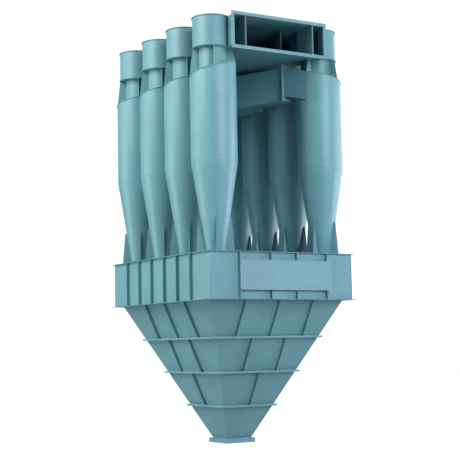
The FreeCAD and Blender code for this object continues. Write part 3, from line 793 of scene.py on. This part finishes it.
# ------------------------------------------------------------------------------ hopper and box
@dataclass
class Casing:
    """Welds of the dust box and the hopper, and the bare sign plate."""

    weld: Weld = Weld(throat=0.006)
    corner_radius: float = 0.030
    corner_steps: int = 8
    soft_edge: float = 0.0015
    square_edge: float = 60.0

    def hopper_half(self, level: float) -> tuple[float, float]:
        """Half sizes of the hopper's outside, from two of its walls.

        Args:
            level: Height at which they are wanted.

        Returns:
            Half the size across the rows, and half the size along them.
        """
        halves = []
        for node, along in (("hopper_wall_right", 0), ("hopper_wall_back", 1)):
            low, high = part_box(node)
            foot = max(v.co[along] for v in frame["nodes"][node].data.vertices
                       if v.co.z < low[2] + MILLIMETRE)
            share = (level - low[2]) / (high[2] - low[2])
            halves.append(foot + (high[along] - foot) * share)
        return halves[0], halves[1]

    def seams(self) -> list[Run]:
        """Corner, ring and perimeter welds."""
        low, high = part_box("hopper_wall_right")[0][2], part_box("hopper_wall_right")[1][2]
        foot, head = self.hopper_half(low), self.hopper_half(high)
        box_low, box_high = (Vector(corner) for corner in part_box("box_wall_right"))
        runs = []
        for sx, sy in ((-1, -1), (1, -1), (1, 1), (-1, 1)):
            runs.append(Run((Vector((sx * foot[0], sy * foot[1], low)),
                             Vector((sx * head[0], sy * head[1], high)))))
            runs.append(Run((Vector((sx * box_high.x, sy * box_high.y, box_low.z)),
                             Vector((sx * box_high.x, sy * box_high.y, box_high.z)))))
        for node in ("hopper_ring_upper", "hopper_ring_middle", "hopper_ring_lower"):
            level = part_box(node)[1][2]
            runs.append(frame_run(*self.hopper_half(level), level))
        runs.append(frame_run(*foot, low))
        runs += [frame_run(box_high.x, box_high.y, level) for level in (box_low.z, box_high.z)]
        return runs

    def sign_outline(self, half_w: float, half_h: float) -> list[Vector]:
        """Rounded rectangle of the sign plate in its own plane.

        Args:
            half_w: Half its width.
            half_h: Half its height.

        Returns:
            The outline's points, in order round its middle.
        """
        points = []
        for quarter, (sx, sy) in enumerate(((1, 1), (-1, 1), (-1, -1), (1, -1))):
            centre = Vector((sx * (half_w - self.corner_radius), 0.0, sy * (half_h - self.corner_radius)))
            for step in range(self.corner_steps + 1):
                turn = math.pi / 2 * (quarter + step / self.corner_steps)
                points.append(centre + Vector((math.cos(turn), 0.0, math.sin(turn))) * self.corner_radius)
        return points

    def sign(self) -> None:
        """Make the sign plate with rounded corners and softened edges, left bare."""
        low, high = (Vector(corner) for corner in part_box("sign_plate"))
        size, middle = high - low, (low + high) / 2
        shape = bmesh.new()
        rim = [shape.verts.new(middle + point + Vector((0.0, size.y / 2, 0.0)))
               for point in self.sign_outline(size.x / 2, size.z / 2)]
        face = shape.faces.new(rim)
        front = bmesh.ops.extrude_face_region(shape, geom=[face])
        moved = [part for part in front["geom"] if isinstance(part, bmesh.types.BMVert)]
        bmesh.ops.translate(shape, verts=moved, vec=(0.0, -size.y, 0.0))
        bmesh.ops.recalc_face_normals(shape, faces=shape.faces)
        sharp = math.radians(self.square_edge)
        borders = [edge for edge in shape.edges if edge.calc_face_angle(0.0) > sharp]
        bmesh.ops.bevel(shape, geom=borders, offset=self.soft_edge, segments=2, affect="EDGES")
        mesh = bpy.data.meshes.new("bare_sign_plate")
        shape.to_mesh(mesh)
        shape.free()
        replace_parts(placed("bare_sign_plate", mesh, Finish.PLATE), "sign_plate")

    def build(self) -> None:
        """Lay the welds and hang the plate."""
        self.weld.lay("casing_welds", self.seams(), Finish.CASING)
        self.sign()


# ------------------------------------------------------------------------------ studio
@dataclass(frozen=True)
class Softbox:
    """One rectangular studio light that faces the barrels' middle.

    Attributes:
        azimuth: Degrees from -Y towards +X.
        elevation: Degrees above level.
        power: Watts.
        reach: Distance from the point that it faces, which stands at aim_level on the axis.
    """

    name: str
    azimuth: float
    elevation: float
    power: float
    colour: tuple[float, float, float]
    size: tuple[float, float] = (8.0, 10.0)
    reach: float = 16.0
    aim_level: float = 2.0

    def hang(self) -> None:
        """Hang the light."""
        data = bpy.data.lights.new(self.name, "AREA")
        data.shape = "RECTANGLE"
        data.size, data.size_y = self.size
        data.energy = self.power
        data.color = self.colour
        turn, lift = math.radians(self.azimuth), math.radians(self.elevation)
        away = Vector((math.sin(turn) * math.cos(lift), -math.cos(turn) * math.cos(lift), math.sin(lift)))
        light = bpy.data.objects.new(self.name, data)
        light.matrix_world = (Matrix.Translation(away * self.reach + Vector((0.0, 0.0, self.aim_level)))
                              @ away.to_track_quat("Z", "Y").to_matrix().to_4x4())
        bpy.context.scene.collection.objects.link(light)


@dataclass
class Studio:
    """Camera, pale floor and soft lights."""

    position: tuple[float, float, float] = (-12.7753, -21.3093, -0.9049)
    yaw: float = -31.0327
    pitch: float = 5.5934
    roll: float = -1.0706
    lens: float = 94.2093
    far_clip: float = 500.0
    floor_level: float = -4.4
    floor_reach: float = 120.0
    floor_tone: float = 0.30
    floor_glow: float = 0.95
    floor_bounce: float = 0.10
    ambient: float = 0.16
    backdrop: float = 1.1
    softboxes: tuple[Softbox, ...] = (
        Softbox("far_left_softbox", -115.0, 0.0, 1150.0, (0.87, 1.0, 0.99)),
        Softbox("high_left_softbox", -85.0, 35.0, 2680.0, (1.0, 0.975, 0.955)),
        Softbox("front_softbox", 5.0, 15.0, 1950.0, (0.88, 0.94, 1.0)),
        Softbox("right_softbox", 65.0, 0.0, 1500.0, (0.95, 0.95, 1.0)),
        Softbox("right_strip", 100.0, 8.0, 620.0, (0.90, 0.95, 1.0), (3.0, 12.0)),
        Softbox("back_softbox", 155.0, 20.0, 1000.0, (0.95, 0.98, 1.0)),
    )

    def camera(self) -> None:
        """Place the camera at the hopper's height, turned up a little."""
        yaw, pitch, roll = (math.radians(a) for a in (self.yaw, self.pitch, self.roll))
        ahead = Vector((-math.sin(yaw) * math.cos(pitch), math.cos(yaw) * math.cos(pitch), math.sin(pitch)))
        side = Vector((math.cos(yaw), math.sin(yaw), 0.0))
        above = side.cross(ahead)
        right = side * math.cos(roll) + above * math.sin(roll)
        up = above * math.cos(roll) - side * math.sin(roll)
        turn = Matrix((right, up, -ahead)).transposed()
        data = bpy.data.cameras.new("camera")
        data.lens = self.lens
        data.clip_end = self.far_clip
        data.dof.use_dof = False
        camera = bpy.data.objects.new("camera", data)
        camera.matrix_world = Matrix.Translation(self.position) @ turn.to_4x4()
        bpy.context.scene.collection.objects.link(camera)
        bpy.context.scene.camera = camera

    def seen_directly(self, tree: bpy.types.NodeTree, unseen: float, seen: float) -> bpy.types.NodeSocket:
        """Strength that differs between what the lens sees and what lights the object.

        Args:
            tree: Node tree of the backdrop or of the floor.
            unseen: Strength for every ray that lights the object.
            seen: Strength for the rays that reach the lens.

        Returns:
            The socket that carries the strength.
        """
        ray = tree.nodes.new("ShaderNodeLightPath")
        strength = tree.nodes.new("ShaderNodeMapRange")
        strength.inputs["To Min"].default_value = unseen
        strength.inputs["To Max"].default_value = seen
        tree.links.new(ray.outputs["Is Camera Ray"], strength.inputs["Value"])
        return strength.outputs["Result"]

    def floor(self) -> None:
        """Lay a wide pale floor well below the dust outlet."""
        reach, level = self.floor_reach, self.floor_level
        mesh = bpy.data.meshes.new("floor")
        mesh.from_pydata([(x, y, level) for x, y in ((-reach, -reach), (reach, -reach), (reach, reach),
                                                      (-reach, reach))], [], [(0, 1, 2, 3)])
        pale = bpy.data.materials.new("pale_floor")
        pale.use_nodes = True
        tree = pale.node_tree
        shader = tree.nodes["Principled BSDF"]
        shader.inputs["Base Color"].default_value = (self.floor_tone, self.floor_tone, self.floor_tone, 1.0)
        shader.inputs["Roughness"].default_value = 0.9
        shader.inputs["Specular IOR Level"].default_value = 0.0
        shader.inputs["Emission Color"].default_value = (1.0, 1.0, 1.0, 1.0)
        tree.links.new(self.seen_directly(tree, self.floor_bounce, self.floor_glow),
                       shader.inputs["Emission Strength"])
        mesh.materials.append(pale)
        floor = bpy.data.objects.new("floor", mesh)
        bpy.context.scene.collection.objects.link(floor)

    def world(self) -> None:
        """Surround the object with weak even light before a white backdrop."""
        world = bpy.data.worlds.new("studio")
        world.use_nodes = True
        tree = world.node_tree
        background = tree.nodes["Background"]
        background.inputs["Color"].default_value = (1.0, 1.0, 1.0, 1.0)
        tree.links.new(self.seen_directly(tree, self.ambient, self.backdrop), background.inputs["Strength"])
        bpy.context.scene.world = world

    def build(self) -> None:
        """Set up camera, floor, world and softboxes."""
        self.camera()
        self.floor()
        self.world()
        for softbox in self.softboxes:
            softbox.hang()
        bpy.context.scene.view_settings.view_transform = "Standard"


def main() -> None:
    """Build every piece in order."""
    logging.basicConfig(level=logging.INFO, format="%(name)s: %(message)s")
    dress_frame()
    cyclones = all_cyclones()
    Shells(cyclones).build()
    GasFlange("mouth_flange", rim=0.058, drilled_on_top=False).build()
    GasFlange("collector_flange", rim=0.063).build()
    Nozzles(cyclones).build()
    Header(cyclones).build()
    Casing().build()
    Studio().build()


if __name__ == "__main__":
    main()
